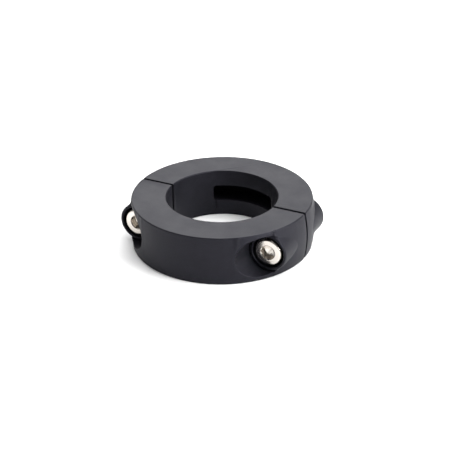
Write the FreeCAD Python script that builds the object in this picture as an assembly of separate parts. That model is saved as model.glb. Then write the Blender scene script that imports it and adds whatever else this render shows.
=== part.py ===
"""Two-piece clamping shaft collar, bolted round the shaft by two socket head cap screws.

Frame: millimetres, origin on the shaft axis at the lower flat face, +Z along the shaft.
The collar is split on the XZ plane. The front half lies at -Y and takes the screws, the
rear half lies at +Y and holds their nuts. The screws run along Y, one at each end of the
split, and both heads face -Y.
"""
import FreeCAD
import Part
import math
import os
from FreeCAD import Vector

# Ring
BORE_DIAMETER = 40.0        # shaft size
RING_WIDTH = 18.0           # along the shaft
RING_EDGE_CHAMFER = 0.3     # all four circular edges
SPLIT_GAP = 1.0             # between the halves before the screws are drawn tight
SCREW_HOLE_WALL = 2.5       # plastic between the bore and a screw hole
BOSS_STANDOUT = 0.3         # boss beyond the ring wall

# Cap screw, M6 x 25
SHANK_DIAMETER = 6.0
SCREW_LENGTH = 25.0         # under the head
TIP_CHAMFER = 0.7
HEAD_DIAMETER = 10.0
HEAD_HEIGHT = 6.0
HEAD_CHAMFER = 0.65
SOCKET_FLATS = 5.0          # hexagon key size
SOCKET_DEPTH = 3.0
SOCKET_CHAMFER = 0.3
DRILL_POINT_ANGLE = 120.0   # degrees, bottom of the socket

# Washer under the head
WASHER_MARGIN = 0.5         # washer beyond the head, all round
WASHER_HOLE_CLEARANCE = 0.2     # all round the shank
WASHER_THICKNESS = 1.6
WASHER_CHAMFER = 0.3

# Hexagon nut, M6
NUT_FLATS = 10.0
NUT_THICKNESS = 5.0
NUT_CORNER_ANGLE = 30.0     # degrees, chamfer on the corners of both faces
NUT_BORE_CLEARANCE = 0.05   # running fit all round the shank

# Screw stations, one on each side of the bore
SEAT_DEPTH = 8.8            # washer seat from the split plane, in the front half
NUT_SEAT_DEPTH = 9.0        # nut seat from the split plane, in the rear half
SCREW_HOLE_CLEARANCE = 0.3      # all round the shank
COUNTERBORE_CLEARANCE = 0.3     # all round the washer
COUNTERBORE_CHAMFER = 0.3
NUT_POCKET_CLEARANCE = 0.1      # from each flat of the nut to its pocket

# Round boss about each screw, on a crowned pad beside the split
BOSS_WALL = 1.111           # outside the counterbore and the corners of the nut pocket
RIM_CHAMFER = 0.4           # outer edge of the rim
CREASE_RADIUS = 1.4         # fillet between the boss and the face of its pad
PAD_CROWN = 0.95            # pad beyond the ring wall at mid height
PAD_SINK = 0.02             # both ends of the crown below the ring wall
PAD_THICKNESS = 5.0         # how far the pad reaches into the ring
MOUTH_CLEARANCE = 0.4       # from the boss to the mouth cut through the ring wall
MOUTH_DRAFT = 1.0           # degrees, mouth opening out through the ring wall
RELIEF_DEPTH = 0.8          # mouth floor below the rim

# Coring pocket in the bore wall of each half
POCKET_SWEEP = 72.0         # degrees round the shaft axis
POCKET_HEIGHT = 6.0         # along the shaft
POCKET_WALL = 4.5           # left between the pocket and the outer wall
POCKET_CORNER_RADIUS = 1.2

PAST = 1.0                  # how far a cutting tool runs past a face
TOUCH = 0.01                # how close counts as lying on a face

SHANK_RADIUS = SHANK_DIAMETER / 2
HEAD_RADIUS = HEAD_DIAMETER / 2
WASHER_RADIUS = HEAD_RADIUS + WASHER_MARGIN
NUT_POCKET_FLATS = NUT_FLATS + 2 * NUT_POCKET_CLEARANCE
NUT_POCKET_RADIUS = NUT_POCKET_FLATS / 2 / math.cos(math.radians(30))     # to its corners
COUNTERBORE_RADIUS = WASHER_RADIUS + COUNTERBORE_CLEARANCE
SCREW_HOLE_RADIUS = SHANK_RADIUS + SCREW_HOLE_CLEARANCE

HALF_GAP = SPLIT_GAP / 2
MID_HEIGHT = RING_WIDTH / 2
HEAD_SEAT = SEAT_DEPTH + WASHER_THICKNESS   # underside of the head from the split plane
RIM_DEPTH = HEAD_SEAT + HEAD_HEIGHT         # rim of both bosses, flush with the head

BOSS_RADIUS = max(COUNTERBORE_RADIUS, NUT_POCKET_RADIUS) + BOSS_WALL
BORE_RADIUS = BORE_DIAMETER / 2
SCREW_OFFSET = BORE_RADIUS + SCREW_HOLE_WALL + SCREW_HOLE_RADIUS    # from the shaft axis
RING_RADIUS = SCREW_OFFSET + BOSS_RADIUS - BOSS_STANDOUT

AXIS_Z = Vector(0, 0, 1)
AXIS_Y = Vector(0, 1, 0)


def face_of(points):
    """Plane face inside the closed polygon through the points."""
    return Part.Face(Part.makePolygon(list(points) + [points[0]]))


def turned(profile, centre, axis):
    """Solid of revolution of a list of (radius, distance along the axis) points.

    The profile is drawn in the plane of +X and the given axis, through the centre.
    """
    points = [centre + Vector(radius, 0, 0) + axis * distance for radius, distance in profile]
    return face_of(points).revolve(centre, axis, 360)


def hexagonal_bar(flats, centre, length):
    """Hexagonal prism along +Y from the centre, measured across flats."""
    corner_radius = flats / 2 / math.cos(math.radians(30))
    corners = []
    for index in range(6):
        angle = math.radians(60 * index)
        corners.append(centre + Vector(math.cos(angle), 0, math.sin(angle)) * corner_radius)
    return face_of(corners).extrude(AXIS_Y * length)


def ring_solid():
    """Whole ring with chamfered circular edges, before it is split."""
    c = RING_EDGE_CHAMFER
    profile = [
        (BORE_RADIUS, c),
        (BORE_RADIUS + c, 0),
        (RING_RADIUS - c, 0),
        (RING_RADIUS, c),
        (RING_RADIUS, RING_WIDTH - c),
        (RING_RADIUS - c, RING_WIDTH),
        (BORE_RADIUS + c, RING_WIDTH),
        (BORE_RADIUS, RING_WIDTH - c),
    ]
    return turned(profile, Vector(0, 0, 0), AXIS_Z)


def crowned_band():
    """Band with a crowned outside, which the pads beside the split are cut from."""
    foot = RING_RADIUS - PAD_SINK
    inner = RING_RADIUS - PAD_THICKNESS
    low = RING_EDGE_CHAMFER
    high = RING_WIDTH - RING_EDGE_CHAMFER
    crown = Vector(RING_RADIUS + PAD_CROWN, 0, MID_HEIGHT)
    profile = Part.Wire([
        Part.Arc(Vector(foot, 0, low), crown, Vector(foot, 0, high)).toShape(),
        Part.LineSegment(Vector(foot, 0, high), Vector(inner, 0, high)).toShape(),
        Part.LineSegment(Vector(inner, 0, high), Vector(inner, 0, low)).toShape(),
        Part.LineSegment(Vector(inner, 0, low), Vector(foot, 0, low)).toShape(),
    ])
    return Part.Face(profile).revolve(Vector(0, 0, 0), AXIS_Z, 360)


def is_crease(edge):
    """True for an edge where the round boss comes out of the crowned face of its pad."""
    if isinstance(edge.Curve, Part.Line):
        return False
    middle = edge.valueAt((edge.FirstParameter + edge.LastParameter) / 2)
    from_screw = math.hypot(middle.x - SCREW_OFFSET, middle.z - MID_HEIGHT)
    on_boss = abs(from_screw - BOSS_RADIUS) < TOUCH and middle.y < RIM_DEPTH - TOUCH
    return on_boss and math.hypot(middle.x, middle.y) > RING_RADIUS - PAD_SINK


def side_boss():
    """Round boss of the rear half at +X on its crowned pad, with their crease filled.

    Both start from the plane of the screw axis, inside the ring wall.
    """
    length = RIM_DEPTH - HALF_GAP
    round_boss = Part.makeCylinder(
        BOSS_RADIUS, length, Vector(SCREW_OFFSET, HALF_GAP, MID_HEIGHT), AXIS_Y
    )
    window = Part.makeBox(RING_RADIUS, length, RING_WIDTH, Vector(SCREW_OFFSET, HALF_GAP, 0))
    solid = crowned_band().fuse(round_boss).common(window).removeSplitter()
    return solid.makeFillet(CREASE_RADIUS, [edge for edge in solid.Edges if is_crease(edge)])


def mouth_tool():
    """Cutter at +X for the mouth through the ring wall and the relief round the rim."""
    mouth_radius = BOSS_RADIUS + MOUTH_CLEARANCE
    floor = RIM_DEPTH - RELIEF_DEPTH
    back = RING_RADIUS + PAST
    profile = [
        (0, RIM_DEPTH),
        (BOSS_RADIUS - RIM_CHAMFER, RIM_DEPTH),
        (BOSS_RADIUS, RIM_DEPTH - RIM_CHAMFER),
        (BOSS_RADIUS, floor),
        (mouth_radius, floor),
        (mouth_radius + (back - floor) * math.tan(math.radians(MOUTH_DRAFT)), back),
        (0, back),
    ]
    return turned(profile, screw_axis_point(1), AXIS_Y)


def is_radial(edge):
    """True for a straight edge that lies square to the shaft axis."""
    if not isinstance(edge.Curve, Part.Line):
        return False
    return abs(edge.Curve.Direction.z) < 0.5


def coring_pocket():
    """Cutter of the rear half: an arc-shaped slot with rounded corners in its bore wall."""
    inner = BORE_RADIUS - PAST
    outer = RING_RADIUS - POCKET_WALL
    base = Vector(0, 0, MID_HEIGHT - POCKET_HEIGHT / 2)
    half_sweep = math.radians(POCKET_SWEEP / 2)
    right = Vector(math.sin(half_sweep), math.cos(half_sweep), 0)
    left = Vector(-right.x, right.y, 0)
    sector = Part.Wire([
        Part.Arc(base + right * outer, base + AXIS_Y * outer, base + left * outer).toShape(),
        Part.LineSegment(base + left * outer, base + left * inner).toShape(),
        Part.Arc(base + left * inner, base + AXIS_Y * inner, base + right * inner).toShape(),
        Part.LineSegment(base + right * inner, base + right * outer).toShape(),
    ])
    slot = Part.Face(sector).extrude(AXIS_Z * POCKET_HEIGHT)
    return slot.makeFillet(POCKET_CORNER_RADIUS, [e for e in slot.Edges if is_radial(e)])


def mirrored_x(shape):
    """The same shape on the other side of the bore."""
    return shape.mirror(Vector(0, 0, 0), Vector(1, 0, 0))


def screw_axis_point(side):
    """Where a screw axis crosses the split plane; side is +1 at +X and -1 at -X."""
    return Vector(side * SCREW_OFFSET, 0, MID_HEIGHT)


def moulded_half():
    """What both halves share, drawn at +Y: half ring, bosses, mouths, screw holes, pocket."""
    reach = RING_RADIUS + PAD_CROWN + PAST
    beyond_split = Part.makeBox(2 * reach, reach, RING_WIDTH, Vector(-reach, HALF_GAP, 0))
    boss_right = side_boss()
    half = ring_solid().fuse([boss_right, mirrored_x(boss_right)]).common(beyond_split)
    mouth_right = mouth_tool()
    cutters = [mouth_right, mirrored_x(mouth_right), coring_pocket()]
    for side in (-1, 1):
        hole = Part.makeCylinder(
            SCREW_HOLE_RADIUS, RIM_DEPTH, screw_axis_point(side), AXIS_Y
        )
        cutters.append(hole)
    return half.cut(cutters).removeSplitter()


def counterbore(side):
    """Cutter for the washer and the head in the front half, drawn at +Y."""
    radius = COUNTERBORE_RADIUS
    c = COUNTERBORE_CHAMFER
    profile = [
        (0, SEAT_DEPTH),
        (radius, SEAT_DEPTH),
        (radius, RIM_DEPTH - c),
        (radius + c, RIM_DEPTH),
        (radius + c, RIM_DEPTH + c),
        (0, RIM_DEPTH + c),
    ]
    return turned(profile, screw_axis_point(side), AXIS_Y)


def nut_pocket(side):
    """Cutter for the nut in the rear half, open at the rim."""
    seat = screw_axis_point(side) + AXIS_Y * NUT_SEAT_DEPTH
    return hexagonal_bar(NUT_POCKET_FLATS, seat, RIM_DEPTH + PAST - NUT_SEAT_DEPTH)


def front_half():
    """Half with the screw heads, at -Y."""
    half = moulded_half().cut([counterbore(side) for side in (-1, 1)])
    return half.mirror(Vector(0, 0, 0), AXIS_Y)


def rear_half():
    """Half with the nuts, at +Y."""
    return moulded_half().cut([nut_pocket(side) for side in (-1, 1)])


def cap_screw(side):
    """Socket head cap screw with its head seated on the washer."""
    face = -HEAD_SEAT - HEAD_HEIGHT
    tip = SCREW_LENGTH - HEAD_SEAT
    profile = [
        (0, face),
        (HEAD_RADIUS - HEAD_CHAMFER, face),
        (HEAD_RADIUS, face + HEAD_CHAMFER),
        (HEAD_RADIUS, -HEAD_SEAT),
        (SHANK_RADIUS, -HEAD_SEAT),
        (SHANK_RADIUS, tip - TIP_CHAMFER),
        (SHANK_RADIUS - TIP_CHAMFER, tip),
        (0, tip),
    ]
    centre = screw_axis_point(side)
    body = turned(profile, centre, AXIS_Y)
    mouth = centre + AXIS_Y * (face - PAST)
    socket = hexagonal_bar(SOCKET_FLATS, mouth, SOCKET_DEPTH + PAST)
    corner_radius = SOCKET_FLATS / 2 / math.cos(math.radians(30))
    flat_radius = SOCKET_FLATS / 2
    point = flat_radius / math.tan(math.radians(DRILL_POINT_ANGLE / 2))
    drill_profile = [(0, face), (flat_radius, face + SOCKET_DEPTH), (0, face + SOCKET_DEPTH + point)]
    lead_profile = [
        (0, face - SOCKET_CHAMFER),
        (corner_radius + SOCKET_CHAMFER, face - SOCKET_CHAMFER),
        (corner_radius - SOCKET_CHAMFER, face + SOCKET_CHAMFER),
        (0, face + SOCKET_CHAMFER),
    ]
    return body.cut([
        socket,
        turned(drill_profile, centre, AXIS_Y),
        turned(lead_profile, centre, AXIS_Y),
    ])


def washer(side):
    """Plain washer between the head and its seat."""
    near = -HEAD_SEAT
    far = -SEAT_DEPTH
    hole_radius = SHANK_RADIUS + WASHER_HOLE_CLEARANCE
    profile = [
        (hole_radius, near),
        (WASHER_RADIUS - WASHER_CHAMFER, near),
        (WASHER_RADIUS, near + WASHER_CHAMFER),
        (WASHER_RADIUS, far),
        (hole_radius, far),
    ]
    return turned(profile, screw_axis_point(side), AXIS_Y)


def hex_nut(side):
    """Hexagon nut on its seat, with both faces chamfered at the corners."""
    centre = screw_axis_point(side) + AXIS_Y * NUT_SEAT_DEPTH
    flat_radius = NUT_FLATS / 2
    corner_radius = flat_radius / math.cos(math.radians(30))
    slope = math.tan(math.radians(NUT_CORNER_ANGLE))
    drop = (corner_radius + PAST - flat_radius) * slope
    envelope = [
        (0, 0),
        (flat_radius, 0),
        (corner_radius + PAST, drop),
        (corner_radius + PAST, NUT_THICKNESS - drop),
        (flat_radius, NUT_THICKNESS),
        (0, NUT_THICKNESS),
    ]
    blank = hexagonal_bar(NUT_FLATS, centre, NUT_THICKNESS)
    blank = blank.common(turned(envelope, centre, AXIS_Y))
    bore = Part.makeCylinder(SHANK_RADIUS + NUT_BORE_CLEARANCE, NUT_THICKNESS, centre, AXIS_Y)
    return blank.cut(bore)


def sub_parts():
    """Every piece of the collar by its node name."""
    parts = {"front_half": front_half(), "rear_half": rear_half()}
    for name, side in (("right", 1), ("left", -1)):
        parts["cap_screw_" + name] = cap_screw(side)
        parts["washer_" + name] = washer(side)
        parts["hex_nut_" + name] = hex_nut(side)
    return parts


def main():
    """Write one STEP file per piece."""
    os.makedirs("parts", exist_ok=True)
    for name, shape in sub_parts().items():
        shape.exportStep("parts/" + name + ".step")


main()
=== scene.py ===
"""Shaft collar in two moulded halves, with its cap screws, washers and nuts, dressed for a studio view."""
import logging
import math
from dataclasses import dataclass
from enum import Enum
from typing import Any, Callable, Optional, Sequence

import bmesh
import bpy
from mathutils import Matrix, Vector
from mathutils.bvhtree import BVHTree


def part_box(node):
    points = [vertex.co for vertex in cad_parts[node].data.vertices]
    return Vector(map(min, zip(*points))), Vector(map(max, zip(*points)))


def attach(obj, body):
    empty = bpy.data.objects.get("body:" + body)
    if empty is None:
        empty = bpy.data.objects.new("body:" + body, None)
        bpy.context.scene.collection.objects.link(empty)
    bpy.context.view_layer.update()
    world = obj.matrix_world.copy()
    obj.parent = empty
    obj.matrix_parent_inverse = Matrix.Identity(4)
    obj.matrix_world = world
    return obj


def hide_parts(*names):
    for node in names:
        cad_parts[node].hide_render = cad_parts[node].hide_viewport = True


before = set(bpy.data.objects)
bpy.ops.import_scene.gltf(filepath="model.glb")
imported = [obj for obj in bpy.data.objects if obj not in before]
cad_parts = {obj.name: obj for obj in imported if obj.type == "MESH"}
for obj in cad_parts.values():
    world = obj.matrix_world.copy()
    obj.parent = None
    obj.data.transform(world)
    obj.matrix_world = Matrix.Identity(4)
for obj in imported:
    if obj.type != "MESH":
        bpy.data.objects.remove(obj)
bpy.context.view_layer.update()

LOG = logging.getLogger("shaft_collar")
MM = 0.001
MERGE_DISTANCE = 0.002 * MM
SLIVER_LENGTH = 0.001 * MM
CREASE_DEGREES = 32.0
Ring = list[Vector]
Profile = list[tuple[float, float]]


class Side(Enum):
    """The two ends of the split, each with its own screw, washer and nut."""

    RIGHT = "right"
    LEFT = "left"


class Build(Enum):
    """How a skin of rings is closed."""

    ENDS = "ends"
    LOOP = "loop"


# ---------------------------------------------------------------- finishes


def linear(hex_colour: str) -> tuple[float, float, float, float]:
    """Turns an sRGB hex colour to linear RGBA.

    Args:
        hex_colour: six hex digits with a leading hash.

    Returns:
        The linear colour with an alpha of one.
    """
    parts = [int(hex_colour[i:i + 2], 16) / 255 for i in (1, 3, 5)]
    r, g, b = (c / 12.92 if c <= 0.04045 else ((c + 0.055) / 1.055) ** 2.4 for c in parts)
    return r, g, b, 1.0


def add_node(
    tree: bpy.types.NodeTree, kind: str, links: Optional[dict[Any, Any]] = None, **settings: Any
) -> bpy.types.Node:
    """Adds one node with its settings, values and links.

    Args:
        tree: the node tree to add to.
        kind: the node's type name.
        links: for each input name or number, an output socket to join or a value to set.
        settings: attributes of the node itself.

    Returns:
        The new node.
    """
    node = tree.nodes.new(kind)
    for key, value in settings.items():
        setattr(node, key, value)
    for key, value in (links or {}).items():
        socket = node.inputs[key]
        if isinstance(value, bpy.types.NodeSocket):
            tree.links.new(value, socket)
        else:
            socket.default_value = value
    return node


@dataclass(frozen=True)
class Finish:
    """What every finish has: a name and a shader on the piece's own Object coordinates."""

    name: str
    colour: str
    roughness: float

    def material(self) -> bpy.types.Material:
        """Makes the material, or takes the one already made under this name.

        Returns:
            The material.
        """
        made = bpy.data.materials.get(self.name)
        if made:
            return made
        made = bpy.data.materials.new(self.name)
        made.use_nodes = True
        tree = made.node_tree
        tree.nodes.clear()
        start = {"Base Color": linear(self.colour), "Roughness": self.roughness}
        shader = add_node(tree, "ShaderNodeBsdfPrincipled", start)
        add_node(tree, "ShaderNodeOutputMaterial", {"Surface": shader.outputs["BSDF"]})
        place = add_node(tree, "ShaderNodeTexCoord").outputs["Object"]
        self.dress(tree, shader, place)
        return made

    def dress(self, tree: bpy.types.NodeTree, shader: bpy.types.Node, place: bpy.types.NodeSocket) -> None:
        """Adds this finish's own nodes; the plain finish has none."""


@dataclass(frozen=True)
class MouldedNylon(Finish):
    """Glass-filled nylon, moulded against a fine spark-eroded tool: near black, satin, with a fine grain."""

    pale_colour: str = "#19191e"
    gleam: str = "#edebff"
    ior: float = 1.53
    specular: float = 0.17
    grain_mm: float = 0.35
    grain_height_mm: float = 0.03
    grain_strength: float = 0.35
    cloud_mm: float = 7.0
    tint_range: tuple[float, float] = (0.12, 0.42)
    gloss_range: tuple[float, float] = (0.3, 0.7)
    smoother: float = 0.04
    rougher: float = 0.05

    def dress(self, tree: bpy.types.NodeTree, shader: bpy.types.Node, place: bpy.types.NodeSocket) -> None:
        """Adds the grain and the cloudy flow of the fill, in tint, gloss and bump.

        Args:
            tree: the material's nodes.
            shader: its Principled shader.
            place: the Object coordinates.
        """
        shader.inputs["IOR"].default_value = self.ior
        shader.inputs["Specular IOR Level"].default_value = self.specular
        shader.inputs["Specular Tint"].default_value = linear(self.gleam)
        # The real grain is under 0.1 mm; it is drawn coarser so that it shows as a faint speckle.
        grain = add_node(tree, "ShaderNodeTexNoise", {
            "Vector": place, "Scale": 1 / (self.grain_mm * MM), "Detail": 3.0, "Roughness": 0.6,
        })
        # Glass fill that flowed in the tool leaves soft clouds a few millimetres across.
        cloud = add_node(tree, "ShaderNodeTexNoise", {
            "Vector": place, "Scale": 1 / (self.cloud_mm * MM), "Detail": 4.0, "Roughness": 0.55,
        })
        factors = {0: grain.outputs["Fac"], 1: cloud.outputs["Fac"]}
        both = add_node(tree, "ShaderNodeMath", factors, operation="MULTIPLY")
        tint = add_node(tree, "ShaderNodeMapRange", {
            "Value": both.outputs[0], "From Min": self.tint_range[0], "From Max": self.tint_range[1],
        })
        tones = {0: tint.outputs["Result"], 6: linear(self.colour), 7: linear(self.pale_colour)}
        mix = add_node(tree, "ShaderNodeMix", tones, data_type="RGBA")
        tree.links.new(mix.outputs[2], shader.inputs["Base Color"])
        gloss = add_node(tree, "ShaderNodeMapRange", {
            "Value": cloud.outputs["Fac"], "From Min": self.gloss_range[0], "From Max": self.gloss_range[1],
            "To Min": self.roughness - self.smoother, "To Max": self.roughness + self.rougher,
        })
        tree.links.new(gloss.outputs["Result"], shader.inputs["Roughness"])
        bump = add_node(tree, "ShaderNodeBump", {
            "Height": grain.outputs["Fac"], "Strength": self.grain_strength,
            "Distance": self.grain_height_mm * MM,
        })
        tree.links.new(bump.outputs["Normal"], shader.inputs["Normal"])


@dataclass(frozen=True)
class StainlessSteel(Finish):
    """Stainless steel with the fine marks of how it was worked: a bright metal, a little warm."""

    mark_mm: float = 0.25
    mark_stretch: tuple[float, float, float] = (1.0, 1.0, 1.0)
    mark_strength: float = 0.2
    mark_height_mm: float = 0.01
    gloss_range: tuple[float, float] = (0.3, 0.7)
    spread: float = 0.06

    def dress(self, tree: bpy.types.NodeTree, shader: bpy.types.Node, place: bpy.types.NodeSocket) -> None:
        """Adds fine marks that break the reflections up.

        Args:
            tree: the material's nodes.
            shader: its Principled shader.
            place: the Object coordinates.
        """
        shader.inputs["Metallic"].default_value = 1.0
        drawn = add_node(tree, "ShaderNodeMapping", {"Vector": place, "Scale": self.mark_stretch})
        # Working marks are a few hundredths of a millimetre; they are drawn coarser so that they show.
        marks = add_node(tree, "ShaderNodeTexNoise", {
            "Vector": drawn.outputs["Vector"], "Scale": 1 / (self.mark_mm * MM),
            "Detail": 4.0, "Roughness": 0.6,
        })
        gloss = add_node(tree, "ShaderNodeMapRange", {
            "Value": marks.outputs["Fac"], "From Min": self.gloss_range[0], "From Max": self.gloss_range[1],
            "To Min": self.roughness - self.spread, "To Max": self.roughness + self.spread,
        })
        tree.links.new(gloss.outputs["Result"], shader.inputs["Roughness"])
        bump = add_node(tree, "ShaderNodeBump", {
            "Height": marks.outputs["Fac"], "Strength": self.mark_strength,
            "Distance": self.mark_height_mm * MM,
        })
        tree.links.new(bump.outputs["Normal"], shader.inputs["Normal"])


@dataclass(frozen=True)
class PaintedFloor(Finish):
    """Matt white painted board under the object: pale and even, with a barely seen mottle."""

    mottle_mm: float = 4.0
    spread: float = 0.05
    specular: float = 0.1

    def dress(self, tree: bpy.types.NodeTree, shader: bpy.types.Node, place: bpy.types.NodeSocket) -> None:
        """Adds the mottle of a rolled coat.

        Args:
            tree: the material's nodes.
            shader: its Principled shader.
            place: the Object coordinates.
        """
        mottle = add_node(tree, "ShaderNodeTexNoise", {
            "Vector": place, "Scale": 1 / (self.mottle_mm * MM), "Detail": 2.0,
        })
        gloss = add_node(tree, "ShaderNodeMapRange", {
            "Value": mottle.outputs["Fac"],
            "To Min": self.roughness - self.spread, "To Max": self.roughness + self.spread,
        })
        tree.links.new(gloss.outputs["Result"], shader.inputs["Roughness"])
        shader.inputs["Specular IOR Level"].default_value = self.specular


# Moulded satin nylon: a soft sheen on faces turned from the light, and no mirror image anywhere.
NYLON = MouldedNylon("glass_filled_nylon_moulded_satin", "#101014", 0.5)
# Cold-headed steel: bright, with marks drawn out along the screw.
SCREW_STEEL = StainlessSteel("stainless_steel_cold_headed", "#cfc9c2", 0.2, mark_stretch=(1.0, 0.25, 1.0))
# Blanked and tumbled steel: greyer, its shine broken by small dents.
WASHER_STEEL = StainlessSteel(
    "stainless_steel_blanked_and_tumbled", "#c3c0bb", 0.34, mark_mm=0.4, spread=0.08
)
# Cold-formed steel: between the two.
NUT_STEEL = StainlessSteel("stainless_steel_cold_formed_bright", "#cac6c0", 0.26, mark_mm=0.3)
# Matt paint: it takes soft shadows and shows no highlight.
FLOOR_PAINT = PaintedFloor("matt_white_paint", "#f6f6f6", 0.8)


# ---------------------------------------------------------------- mesh helpers


def skin_of(rings: Sequence[Ring], build: Build) -> bpy.types.Mesh:
    """Joins rings of points into one closed shell that faces outwards.

    Args:
        rings: rings in order along the surface; a ring of one point is a pole.
        build: whether the ends are closed, or the last ring joins the first.

    Returns:
        The merged mesh.
    """
    form = bmesh.new()
    rows = [[form.verts.new(point) for point in ring] for ring in rings]
    pairs = list(zip(rows, rows[1:]))
    if build is Build.LOOP:
        pairs.append((rows[-1], rows[0]))
    for upper, lower in pairs:
        count = max(len(upper), len(lower))
        for i in range(count):
            j = (i + 1) % count
            above = [upper[i % len(upper)], upper[j % len(upper)]]
            loop = above + [lower[j % len(lower)], lower[i % len(lower)]]
            corners = [v for k, v in enumerate(loop) if v not in loop[:k]]
            if len(corners) > 2:
                form.faces.new(corners)
    bmesh.ops.remove_doubles(form, verts=form.verts, dist=MERGE_DISTANCE)
    bmesh.ops.dissolve_degenerate(form, edges=form.edges, dist=SLIVER_LENGTH)
    bmesh.ops.recalc_face_normals(form, faces=form.faces)
    mesh = bpy.data.meshes.new("skin")
    form.to_mesh(mesh)
    form.free()
    return mesh


def circle(radius: float, height: float, count: int) -> Ring:
    """A level ring of points round the local Z axis."""
    return polar(lambda _: radius, lambda _: height, count)


def polar(radius: Callable[[float], float], height: Callable[[float], float], count: int) -> Ring:
    """A ring whose radius and height follow the angle.

    Args:
        radius: the radius at an angle in radians.
        height: the height at an angle in radians.
        count: how many points the ring has.

    Returns:
        The ring's points.
    """
    angles = [2 * math.pi * i / count for i in range(count)]
    return [Vector((radius(a) * math.cos(a), radius(a) * math.sin(a), height(a))) for a in angles]


def hexagon_radius(flats: float) -> Callable[[float], float]:
    """How far a hexagon's outline is from its middle at each angle, with a corner at angle zero.

    Args:
        flats: the distance across its flats.

    Returns:
        The radius as a function of the angle in radians.
    """
    sector = math.pi / 3
    return lambda angle: flats / 2 / math.cos(angle % sector - sector / 2)


def rounded_corner(radius: float, height: float, rounding: float, count: int, steps: int = 4) -> list[Ring]:
    """Rings that take a flat top into an upright wall over a rounded edge.

    Args:
        radius: the wall's radius.
        height: the top's height.
        rounding: the edge's own radius; a negative one goes from the wall into an underside.
        count: how many points each ring has.
        steps: how many faces the rounding has.

    Returns:
        The rings in order.
    """
    turns = [math.pi / 2 * i / steps for i in range(steps + 1)]
    size = abs(rounding)
    middle = radius - size
    if rounding < 0:
        return [circle(middle + size * math.cos(t), height + size - size * math.sin(t), count) for t in turns]
    return [circle(middle + size * math.sin(t), height - size + size * math.cos(t), count) for t in turns]


def thread_rings(
    profile: Profile, limit: Callable[[float, float], float], pitch: float,
    top: float, bottom: float, count: int,
) -> list[Ring]:
    """Rings of a right-handed thread, whose rows follow the helix from top to bottom.

    Args:
        profile: (fraction of a turn, radius) along one pitch, falling from 1 to 0.
        limit: turns (height, radius) into the radius left by the end chamfers.
        pitch: the rise of one turn.
        top: the highest point of the thread.
        bottom: the lowest.
        count: how many points each ring has.

    Returns:
        The rings; rows past either end collapse onto it.
    """
    first = min(profile)
    points = sorted(profile) + [(first[0] + 1, first[1])]

    def radius_at(phase: float) -> float:
        """Finds the thread's radius between the profile's own points.

        Args:
            phase: how many turns along the thread.

        Returns:
            The radius there.
        """
        wrapped = phase % 1.0
        if wrapped < points[0][0]:
            wrapped += 1.0
        for (a, ra), (b, rb) in zip(points, points[1:]):
            if a <= wrapped <= b:
                return ra + (rb - ra) * (wrapped - a) / (b - a)
        return points[0][1]

    rings = []
    turn = math.ceil(top / pitch) + 1
    while (turn + 1) * pitch > bottom - 2 * pitch:
        for fraction, _ in profile:
            ring = []
            for i in range(count):
                share = i / count
                height = min(max((turn + fraction + share) * pitch, bottom), top)
                radius = limit(height, radius_at(height / pitch - share))
                angle = 2 * math.pi * share
                ring.append(Vector((radius * math.cos(angle), radius * math.sin(angle), height)))
            rings.append(ring)
        turn -= 1
    return rings


def shaded(mesh: bpy.types.Mesh) -> None:
    """Shades a mesh smooth, with its real corners sharp."""
    mesh.shade_smooth()
    mesh.set_sharp_from_angle(angle=math.radians(CREASE_DEGREES))


def worker_of(mesh: bpy.types.Mesh) -> bpy.types.Object:
    """Puts a mesh in the scene for a moment, so that modifiers can work on it.

    Args:
        mesh: the mesh to work on.

    Returns:
        The object that holds it.
    """
    worker = bpy.data.objects.new("worker", mesh)
    bpy.context.scene.collection.objects.link(worker)
    return worker


def finished(
    name: str, mesh: bpy.types.Mesh, finish: Finish, body: str, node: str
) -> bpy.types.Object:
    """Makes a mesh a piece of the object: dressed, riding on its body and standing for its CAD node.

    Args:
        name: the piece's name.
        mesh: its mesh, already in place.
        finish: what it is dressed in.
        body: the body it rides on.
        node: the CAD node it stands for.

    Returns:
        The piece.
    """
    mesh.name = name
    shaded(mesh)
    mesh.materials.clear()
    mesh.materials.append(finish.material())
    piece = bpy.data.objects.new(name, mesh)
    bpy.context.scene.collection.objects.link(piece)
    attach(piece, body)
    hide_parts(node)
    LOG.info("%s: %d faces, rides on %s, stands for %s", name, len(mesh.polygons), body, node)
    return piece


def evaluated_copy(worker: bpy.types.Object) -> bpy.types.Mesh:
    """Turns an object with modifiers to a plain mesh, and removes the object.

    Args:
        worker: the object.

    Returns:
        The plain mesh.
    """
    graph = bpy.context.evaluated_depsgraph_get()
    graph.update()
    solid = worker.evaluated_get(graph)
    mesh = bpy.data.meshes.new_from_object(solid, preserve_all_data_layers=True, depsgraph=graph)
    source = worker.data
    bpy.data.objects.remove(worker)
    bpy.data.meshes.remove(source)
    return mesh


# ---------------------------------------------------------------- sub-assemblies


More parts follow.
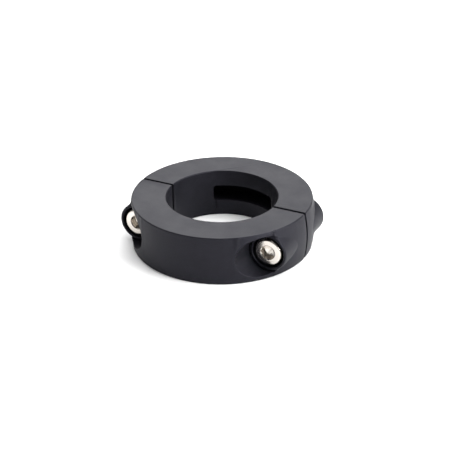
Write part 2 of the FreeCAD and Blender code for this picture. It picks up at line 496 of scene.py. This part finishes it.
@dataclass
class MouldedHalf:
    """One half of the ring, moulded with its screw bosses, seats and coring pocket, its edges rounded."""

    node: str
    body: str
    edge_radius: float = 0.12 * MM
    edge_angle_degrees: float = 55.0
    edge_steps: int = 2
    flat_tolerance_degrees: float = 0.05
    square_to_screw: float = 0.999
    strays_from: float = 0.5

    def shell(self) -> bpy.types.Mesh:
        """Merges a copy of the CAD half into whole faces.

        The faces square to the screws are rings with a hole, which one whole face can't be, so
        they stay in triangles.

        Returns:
            The merged mesh.
        """
        form = bmesh.new()
        form.from_mesh(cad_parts[self.node].data)
        bmesh.ops.remove_doubles(form, verts=form.verts, dist=MERGE_DISTANCE)
        bmesh.ops.dissolve_degenerate(form, edges=form.edges, dist=SLIVER_LENGTH)
        flat = math.radians(self.flat_tolerance_degrees)
        square = {f for f in form.faces if abs(f.normal.y) > self.square_to_screw}
        whole = [e for e in form.edges if not square.intersection(e.link_faces)]
        bmesh.ops.dissolve_limit(form, angle_limit=flat, verts=form.verts, edges=whole)
        mesh = bpy.data.meshes.new(self.node)
        form.to_mesh(mesh)
        form.free()
        return mesh

    def settled(self, mesh: bpy.types.Mesh) -> bpy.types.Mesh:
        """Brings back any point that the rounding threw off the moulded surface.

        Args:
            mesh: the rounded half.

        Returns:
            The same mesh, with no point further off than the rounding allows.
        """
        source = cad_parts[self.node].data
        surface = BVHTree.FromPolygons([v.co for v in source.vertices], [p.vertices for p in source.polygons])
        for vertex in mesh.vertices:
            near, _, _, distance = surface.find_nearest(vertex.co)
            if distance > self.edge_radius * self.strays_from:
                vertex.co = near
        return mesh

    def build(self) -> bpy.types.Object:
        """Rounds the moulded edges and dresses the half.

        Returns:
            The finished half.
        """
        worker = worker_of(self.shell())
        rounding = worker.modifiers.new("moulded_edges", "BEVEL")
        rounding.width = self.edge_radius
        rounding.segments = self.edge_steps
        rounding.limit_method = "ANGLE"
        rounding.angle_limit = math.radians(self.edge_angle_degrees)
        rounding.use_clamp_overlap = False
        mesh = self.settled(evaluated_copy(worker))
        shaded(mesh)
        worker = worker_of(mesh)
        even = worker.modifiers.new("even_faces", "WEIGHTED_NORMAL")
        even.keep_sharp = True
        mesh = evaluated_copy(worker)
        return finished("moulded_" + self.node, mesh, NYLON, self.body, self.node)


@dataclass
class ScrewAxis:
    """Where one screw lies: a frame whose Z runs from the nut to the screw's head."""

    side: Side

    def matrix(self) -> Matrix:
        """Finds what takes local points, with the head up, to their place on the collar.

        Returns:
            The placing matrix.
        """
        low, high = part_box("cap_screw_" + self.side.value)
        middle = (low + high) / 2
        return Matrix(((1, 0, 0, middle.x), (0, 0, -1, 0), (0, 1, 0, middle.z), (0, 0, 0, 1)))

    def span(self, node: str) -> tuple[float, float, float]:
        """Returns a node's lowest and highest place along the axis and its radius across X."""
        low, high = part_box(node + "_" + self.side.value)
        return -high.y, -low.y, (high.x - low.x) / 2


@dataclass
class MetricThread:
    """An M6 coarse thread, right-handed, in the same phase on the screw and in the nut.

    A flank is given by the fractions of a turn at which it starts and ends.
    """

    pitch: float = 1.0 * MM
    major_radius: float = 2.97 * MM
    minor_radius: float = 2.42 * MM
    nut_major_radius: float = 3.08 * MM
    nut_minor_radius: float = 2.56 * MM
    flank: tuple[float, float] = (0.14, 0.44)
    nut_flank: tuple[float, float] = (0.06, 0.40)

    def outer(self) -> Profile:
        """Returns the screw's profile, with a narrow crest and a flat root."""
        return self.profile(self.flank, self.minor_radius, self.major_radius)

    def inner(self) -> Profile:
        """Returns the nut's profile, which leaves room round the screw's."""
        return self.profile(self.nut_flank, self.nut_minor_radius, self.nut_major_radius)

    @staticmethod
    def profile(flank: tuple[float, float], minor: float, major: float) -> Profile:
        """Mirrors a flank about the middle of the turn.

        Args:
            flank: where it starts and ends.
            minor: the radius outside the flanks.
            major: the radius between them.

        Returns:
            The profile's points, falling from a whole turn.
        """
        start, end = flank
        return [(1.0, minor), (1 - start, minor), (1 - end, major), (end, major), (start, minor)]


@dataclass
class CapScrew:
    """Socket head cap screw M6 by 25, with a knurled head and a chamfered hexagon socket."""

    axis: ScrewAxis
    thread: MetricThread
    head_height: float = 6.0 * MM
    head_edge_rounding: float = 0.65 * MM
    socket_flats: float = 5.0 * MM
    socket_depth: float = 3.0 * MM
    socket_mouth_chamfer: float = 0.3 * MM
    drill_point_depth: float = 1.35 * MM
    plain_length: float = 2.2 * MM
    socket_floor_share: float = 0.97
    socket_floor_drop: float = 0.02 * MM
    underhead_rounding: float = 0.2 * MM
    # How far out of the shank and how far below the head each point of the fillet between them is.
    fillet: tuple[tuple[float, float], ...] = ((0.25 * MM, 0.0), (0.06 * MM, 0.07 * MM), (0.0, 0.26 * MM))
    runout: float = 0.6 * MM
    runout_slope: float = 0.9
    runout_gap: float = 0.02 * MM
    tip_height: float = 0.15 * MM
    tip_chamfer: float = 0.12 * MM
    knurl_count: int = 66
    knurl_height: float = 0.14 * MM
    knurl_margin: float = 0.5 * MM
    count: int = 72

    def socket(self, top: float) -> list[Ring]:
        """Rings from the drill point up the hexagon socket to its chamfered mouth.

        Args:
            top: the height of the head's top face.

        Returns:
            The rings, from the bottom up.
        """
        hexagon = hexagon_radius(self.socket_flats)
        mouth = self.socket_flats / 2 + self.socket_mouth_chamfer
        floor = top - self.socket_depth
        drilled = self.socket_flats / 2 * self.socket_floor_share
        return [
            [Vector((0, 0, floor - self.drill_point_depth))],
            circle(drilled, floor - self.socket_floor_drop, self.count),
            polar(hexagon, lambda _: floor, self.count),
            polar(hexagon, lambda a: top - max(0.0, mouth - hexagon(a)), self.count),
            polar(lambda a: max(mouth, hexagon(a)), lambda _: top, self.count),
        ]

    def threaded_shank(self, neck: float, low: float) -> list[Ring]:
        """Rings of the thread and the chamfered tip.

        Args:
            neck: where the plain part below the head ends.
            low: the height of the tip's end.

        Returns:
            The rings, from the neck down.
        """
        core, shank = self.thread.minor_radius, self.thread.major_radius
        bottom = low + self.tip_height

        def limit(height: float, radius: float) -> float:
            """Lets the thread run out at the neck and taper at the tip.

            Args:
                height: where along the axis.
                radius: the thread's own radius there.

            Returns:
                The radius that is left.
            """
            if height < neck - self.runout:
                return min(radius, core + max(0.0, height - bottom))
            return max(radius, shank - (neck - height) * self.runout_slope)

        top = neck - self.runout_gap
        rings = thread_rings(self.thread.outer(), limit, self.thread.pitch, top, bottom, self.count)
        rings.append(circle(core, low + self.tip_chamfer, self.count))
        rings.append(circle(core - self.tip_chamfer, low, self.count))
        rings.append([Vector((0, 0, low))])
        return rings

    def skin(self) -> bpy.types.Mesh:
        """Turns the whole screw, from the socket's bottom to the tip.

        Returns:
            The screw without its knurl, on the local axis.
        """
        low, high, radius = self.axis.span("cap_screw")
        seat = high - self.head_height
        neck = seat - self.plain_length
        shank = self.thread.major_radius
        wall = radius - self.knurl_height / 2
        rings = self.socket(high)
        rings += rounded_corner(wall, high, self.head_edge_rounding, self.count)
        rings += rounded_corner(wall, seat, -self.underhead_rounding, self.count, 2)
        rings += [circle(shank + out, seat - down, self.count) for out, down in self.fillet]
        rings.append(circle(shank, neck, self.count))
        rings += self.threaded_shank(neck, low)
        return skin_of(rings, Build.ENDS)

    def knurl_tree(self) -> bpy.types.NodeTree:
        """Makes the node tree that sets a straight ridge at each step round the head.

        Returns:
            The tree.
        """
        tree = bpy.data.node_groups.new("straight_knurl", "GeometryNodeTree")
        kinds = {
            "Head": "NodeSocketGeometry", "Ridges": "NodeSocketInt", "Radius": "NodeSocketFloat",
            "Ridge Size": "NodeSocketFloat", "Ridge Length": "NodeSocketFloat",
            "Middle Height": "NodeSocketFloat", "Finish": "NodeSocketMaterial",
        }
        for name, kind in kinds.items():
            tree.interface.new_socket(name, in_out="INPUT", socket_type=kind)
        tree.interface.new_socket("Knurled Head", in_out="OUTPUT", socket_type="NodeSocketGeometry")
        given = add_node(tree, "NodeGroupInput").outputs
        steps = add_node(tree, "GeometryNodeMeshCircle", {
            "Vertices": given["Ridges"], "Radius": given["Radius"],
        })
        raised = add_node(tree, "ShaderNodeCombineXYZ", {"Z": given["Middle Height"]})
        lifted = add_node(tree, "GeometryNodeSetPosition", {
            "Geometry": steps.outputs["Mesh"], "Offset": raised.outputs[0],
        })
        # A ridge is a square bar set with one corner outwards.
        ridge = add_node(tree, "GeometryNodeMeshCylinder", {
            "Vertices": 4, "Radius": given["Ridge Size"], "Depth": given["Ridge Length"],
        })
        where = add_node(tree, "GeometryNodeInputPosition").outputs["Position"]
        parts = add_node(tree, "ShaderNodeSeparateXYZ", {"Vector": where}).outputs
        angle = add_node(tree, "ShaderNodeMath", {0: parts["Y"], 1: parts["X"]}, operation="ARCTAN2")
        turn = add_node(tree, "ShaderNodeCombineXYZ", {"Z": angle.outputs[0]})
        set_round = add_node(tree, "GeometryNodeInstanceOnPoints", {
            "Points": lifted.outputs["Geometry"], "Instance": ridge.outputs["Mesh"],
            "Rotation": turn.outputs[0],
        })
        joined = add_node(tree, "GeometryNodeJoinGeometry", {"Geometry": given["Head"]})
        tree.links.new(set_round.outputs["Instances"], joined.inputs["Geometry"])
        solid = add_node(tree, "GeometryNodeRealizeInstances", {"Geometry": joined.outputs["Geometry"]})
        dressed = add_node(tree, "GeometryNodeSetMaterial", {
            "Geometry": solid.outputs["Geometry"], "Material": given["Finish"],
        })
        add_node(tree, "NodeGroupOutput", {"Knurled Head": dressed.outputs["Geometry"]})
        return tree

    def knurled(self, skin: bpy.types.Mesh) -> bpy.types.Mesh:
        """Adds the straight knurl round the head.

        Args:
            skin: the turned screw.

        Returns:
            The screw with its ridges.
        """
        _, high, radius = self.axis.span("cap_screw")
        worker = worker_of(skin)
        tree = bpy.data.node_groups.get("straight_knurl") or self.knurl_tree()
        knurl = worker.modifiers.new("knurl", "NODES")
        knurl.node_group = tree
        length = self.head_height - self.head_edge_rounding - self.knurl_margin
        values = {
            "Ridges": self.knurl_count,
            "Radius": radius - self.knurl_height,
            "Ridge Size": self.knurl_height,
            "Ridge Length": length,
            "Middle Height": high - self.head_edge_rounding - length / 2,
            "Finish": SCREW_STEEL.material(),
        }
        for item in tree.interface.items_tree:
            if item.in_out == "INPUT" and item.name in values:
                knurl[item.identifier] = values[item.name]
        return evaluated_copy(worker)

    def build(self) -> bpy.types.Object:
        """Makes the screw and dresses it.

        Returns:
            The finished screw.
        """
        mesh = self.knurled(self.skin())
        mesh.transform(self.axis.matrix())
        side = self.axis.side.value
        body, node = f"screw_{side}_body", f"cap_screw_{side}"
        return finished(f"socket_screw_{side}", mesh, SCREW_STEEL, body, node)


@dataclass
class PlainWasher:
    """Plain washer, blanked from sheet: one side rolled over by the punch, the other crisp."""

    axis: ScrewAxis
    hole_clearance: float = 0.2 * MM
    shank_radius: float = 3.0 * MM
    rolled_edge: float = 0.3 * MM
    crisp_edge: float = 0.06 * MM
    count: int = 96

    def build(self) -> bpy.types.Object:
        """Turns the washer's section and dresses it.

        Returns:
            The finished washer.
        """
        low, high, radius = self.axis.span("washer")
        hole = self.shank_radius + self.hole_clearance
        rings = rounded_corner(radius, high, self.rolled_edge, self.count)
        rings += rounded_corner(radius, low, -self.crisp_edge, self.count, 1)
        rings.append(circle(hole + self.crisp_edge, low, self.count))
        rings.append(circle(hole, low + self.crisp_edge, self.count))
        rings.append(circle(hole, high - self.rolled_edge / 2, self.count))
        rings.append(circle(hole + self.rolled_edge / 2, high, self.count))
        mesh = skin_of(rings, Build.LOOP)
        mesh.transform(self.axis.matrix())
        side = self.axis.side.value
        body, node = f"washer_{side}_body", f"washer_{side}"
        return finished(f"plain_washer_{side}", mesh, WASHER_STEEL, body, node)


@dataclass
class HexNut:
    """Hexagon nut M6, chamfered on both faces, with its thread cut in phase with the screw's."""

    axis: ScrewAxis
    thread: MetricThread
    body: str = "rear_body"
    flats: float = 10.0 * MM
    corner_angle_degrees: float = 30.0
    face_share: float = 0.95
    mouth_radius: float = 3.3 * MM
    corner_out_share: float = 1.02
    count: int = 72

    def build(self) -> bpy.types.Object:
        """Forms the nut's outside and thread, and dresses it.

        Returns:
            The finished nut.
        """
        low, high, half_width = self.axis.span("hex_nut")
        # The nut sits with a corner or a flat towards X, as its CAD node does.
        turn = 0.0 if half_width > self.flats / 2 * self.corner_out_share else math.pi / 6
        outline = hexagon_radius(self.flats)
        face = self.flats / 2 * self.face_share
        slope = math.tan(math.radians(self.corner_angle_degrees))

        def hexagon(angle: float) -> float:
            """Returns the outline's radius with the nut turned as it sits in its seat."""
            return outline(angle - turn)

        def mouth(height: float, radius: float) -> float:
            """Returns the thread's radius, opened by the chamfer at either end."""
            return max(radius, self.mouth_radius - min(height - low, high - height))

        rings = [
            circle(face, high, self.count),
            polar(hexagon, lambda a: high - (hexagon(a) - face) * slope, self.count),
            polar(hexagon, lambda a: low + (hexagon(a) - face) * slope, self.count),
            circle(face, low, self.count),
            circle(self.mouth_radius, low, self.count),
        ]
        rings += thread_rings(self.thread.inner(), mouth, self.thread.pitch, high, low, self.count)[::-1]
        rings.append(circle(self.mouth_radius, high, self.count))
        mesh = skin_of(rings, Build.LOOP)
        mesh.transform(self.axis.matrix())
        side = self.axis.side.value
        return finished(f"hexagon_nut_{side}", mesh, NUT_STEEL, self.body, f"hex_nut_{side}")


@dataclass
class Fastening:
    """One end's screw, washer and nut, all on one axis."""

    side: Side

    def build(self) -> list[bpy.types.Object]:
        """Builds the three pieces of this end.

        Returns:
            The screw, the washer and the nut.
        """
        axis = ScrewAxis(self.side)
        thread = MetricThread()
        return [CapScrew(axis, thread).build(), PlainWasher(axis).build(), HexNut(axis, thread).build()]


# ---------------------------------------------------------------- studio


@dataclass(frozen=True)
class SoftBox:
    """One soft light: where it hangs, how large and bright it is, and where it looks."""

    name: str
    place: tuple[float, float, float]
    size: tuple[float, float]
    power: float
    target: tuple[float, float, float] = (0.0, 0.0, 0.009)

    def hang(self) -> None:
        """Hangs the light."""
        lamp = bpy.data.lights.new(self.name, "AREA")
        lamp.shape = "RECTANGLE"
        lamp.size, lamp.size_y = self.size
        lamp.energy = self.power
        holder = bpy.data.objects.new(self.name, lamp)
        bpy.context.scene.collection.objects.link(holder)
        holder.location = self.place
        aim = Vector(self.target) - Vector(self.place)
        holder.rotation_euler = aim.to_track_quat("-Z", "Y").to_euler()
        LOG.info("light %s hung", self.name)


@dataclass
class Studio:
    """Pale floor, soft lights, a pale surround that is dimmer at the front, and the camera."""

    floor_half: float = 3.0
    lens: float = 119.80
    sensor_width: float = 36.0
    sees_from: float = 0.01
    sees_to: float = 20.0
    camera_place: tuple[float, float, float] = (0.2174, -0.4254, 0.2608)
    camera_aim: tuple[float, float, float] = (-0.4000, 0.7865, -0.4706)
    camera_roll_degrees: float = -0.691
    surround_front: str = "#868686"
    surround_back: str = "#ffffff"
    surround_strength: float = 0.8
    # How far towards the back a direction points where the surround is dimmest and brightest.
    surround_range: tuple[float, float] = (-0.8, 0.5)
    lights: tuple[SoftBox, ...] = (
        SoftBox("soft_box_back", (-0.5, 0.85, 0.7), (0.9, 0.7), 9.0),
        SoftBox("soft_box_top", (0.1, 0.1, 1.0), (0.8, 0.8), 8.0),
        SoftBox("soft_box_right", (0.45, 0.12, 0.5), (0.35, 0.35), 3.0, (0.1, 0.03, 0.0)),
        SoftBox("soft_box_low_right", (0.6, -0.05, 0.18), (0.3, 0.2), 4.0),
    )

    def floor(self) -> None:
        """Lays the floor."""
        mesh = bpy.data.meshes.new("floor")
        h = self.floor_half
        mesh.from_pydata([(-h, -h, 0), (h, -h, 0), (h, h, 0), (-h, h, 0)], [], [(0, 1, 2, 3)])
        mesh.materials.append(FLOOR_PAINT.material())
        board = bpy.data.objects.new("floor", mesh)
        bpy.context.scene.collection.objects.link(board)

    def surround(self) -> None:
        """Lights the whole room softly, from a dimmer front to a brighter back."""
        world = bpy.data.worlds.new("studio")
        bpy.context.scene.world = world
        world.use_nodes = True
        tree = world.node_tree
        tree.nodes.clear()
        way = add_node(tree, "ShaderNodeTexCoord").outputs["Generated"]
        back = Vector((self.camera_aim[0], self.camera_aim[1], 0)).normalized()
        toward = add_node(tree, "ShaderNodeVectorMath", {0: way, 1: back}, operation="DOT_PRODUCT")
        share = add_node(tree, "ShaderNodeMapRange", {
            "Value": toward.outputs["Value"],
            "From Min": self.surround_range[0], "From Max": self.surround_range[1],
        })
        tones = {0: share.outputs["Result"], 6: linear(self.surround_front), 7: linear(self.surround_back)}
        tone = add_node(tree, "ShaderNodeMix", tones, data_type="RGBA")
        glow = add_node(tree, "ShaderNodeBackground", {
            "Color": tone.outputs[2], "Strength": self.surround_strength,
        })
        add_node(tree, "ShaderNodeOutputWorld", {"Surface": glow.outputs["Background"]})

    def camera(self) -> None:
        """Sets up the camera that looks down on the collar from the front right."""
        lens = bpy.data.cameras.new("camera")
        lens.lens = self.lens
        lens.sensor_width = self.sensor_width
        lens.clip_start = self.sees_from
        lens.clip_end = self.sees_to
        holder = bpy.data.objects.new("camera", lens)
        bpy.context.scene.collection.objects.link(holder)
        aim = Vector(self.camera_aim).normalized().to_track_quat("-Z", "Y").to_matrix().to_4x4()
        roll = Matrix.Rotation(math.radians(self.camera_roll_degrees), 4, "Z")
        holder.matrix_world = Matrix.Translation(Vector(self.camera_place)) @ aim @ roll
        bpy.context.scene.camera = holder

    def build(self) -> None:
        """Sets the whole studio up."""
        self.floor()
        self.surround()
        for light in self.lights:
            light.hang()
        self.camera()
        bpy.context.scene.view_settings.view_transform = "Standard"


def main() -> None:
    """Builds the collar and its studio, and reports each piece."""
    logging.basicConfig(level=logging.INFO, format="%(message)s")
    Studio().build()
    MouldedHalf("front_half", "front_body").build()
    MouldedHalf("rear_half", "rear_body").build()
    for side in Side:
        for piece in Fastening(side).build():
            LOG.info("%s is in place", piece.name)


if __name__ == "__main__":
    main()
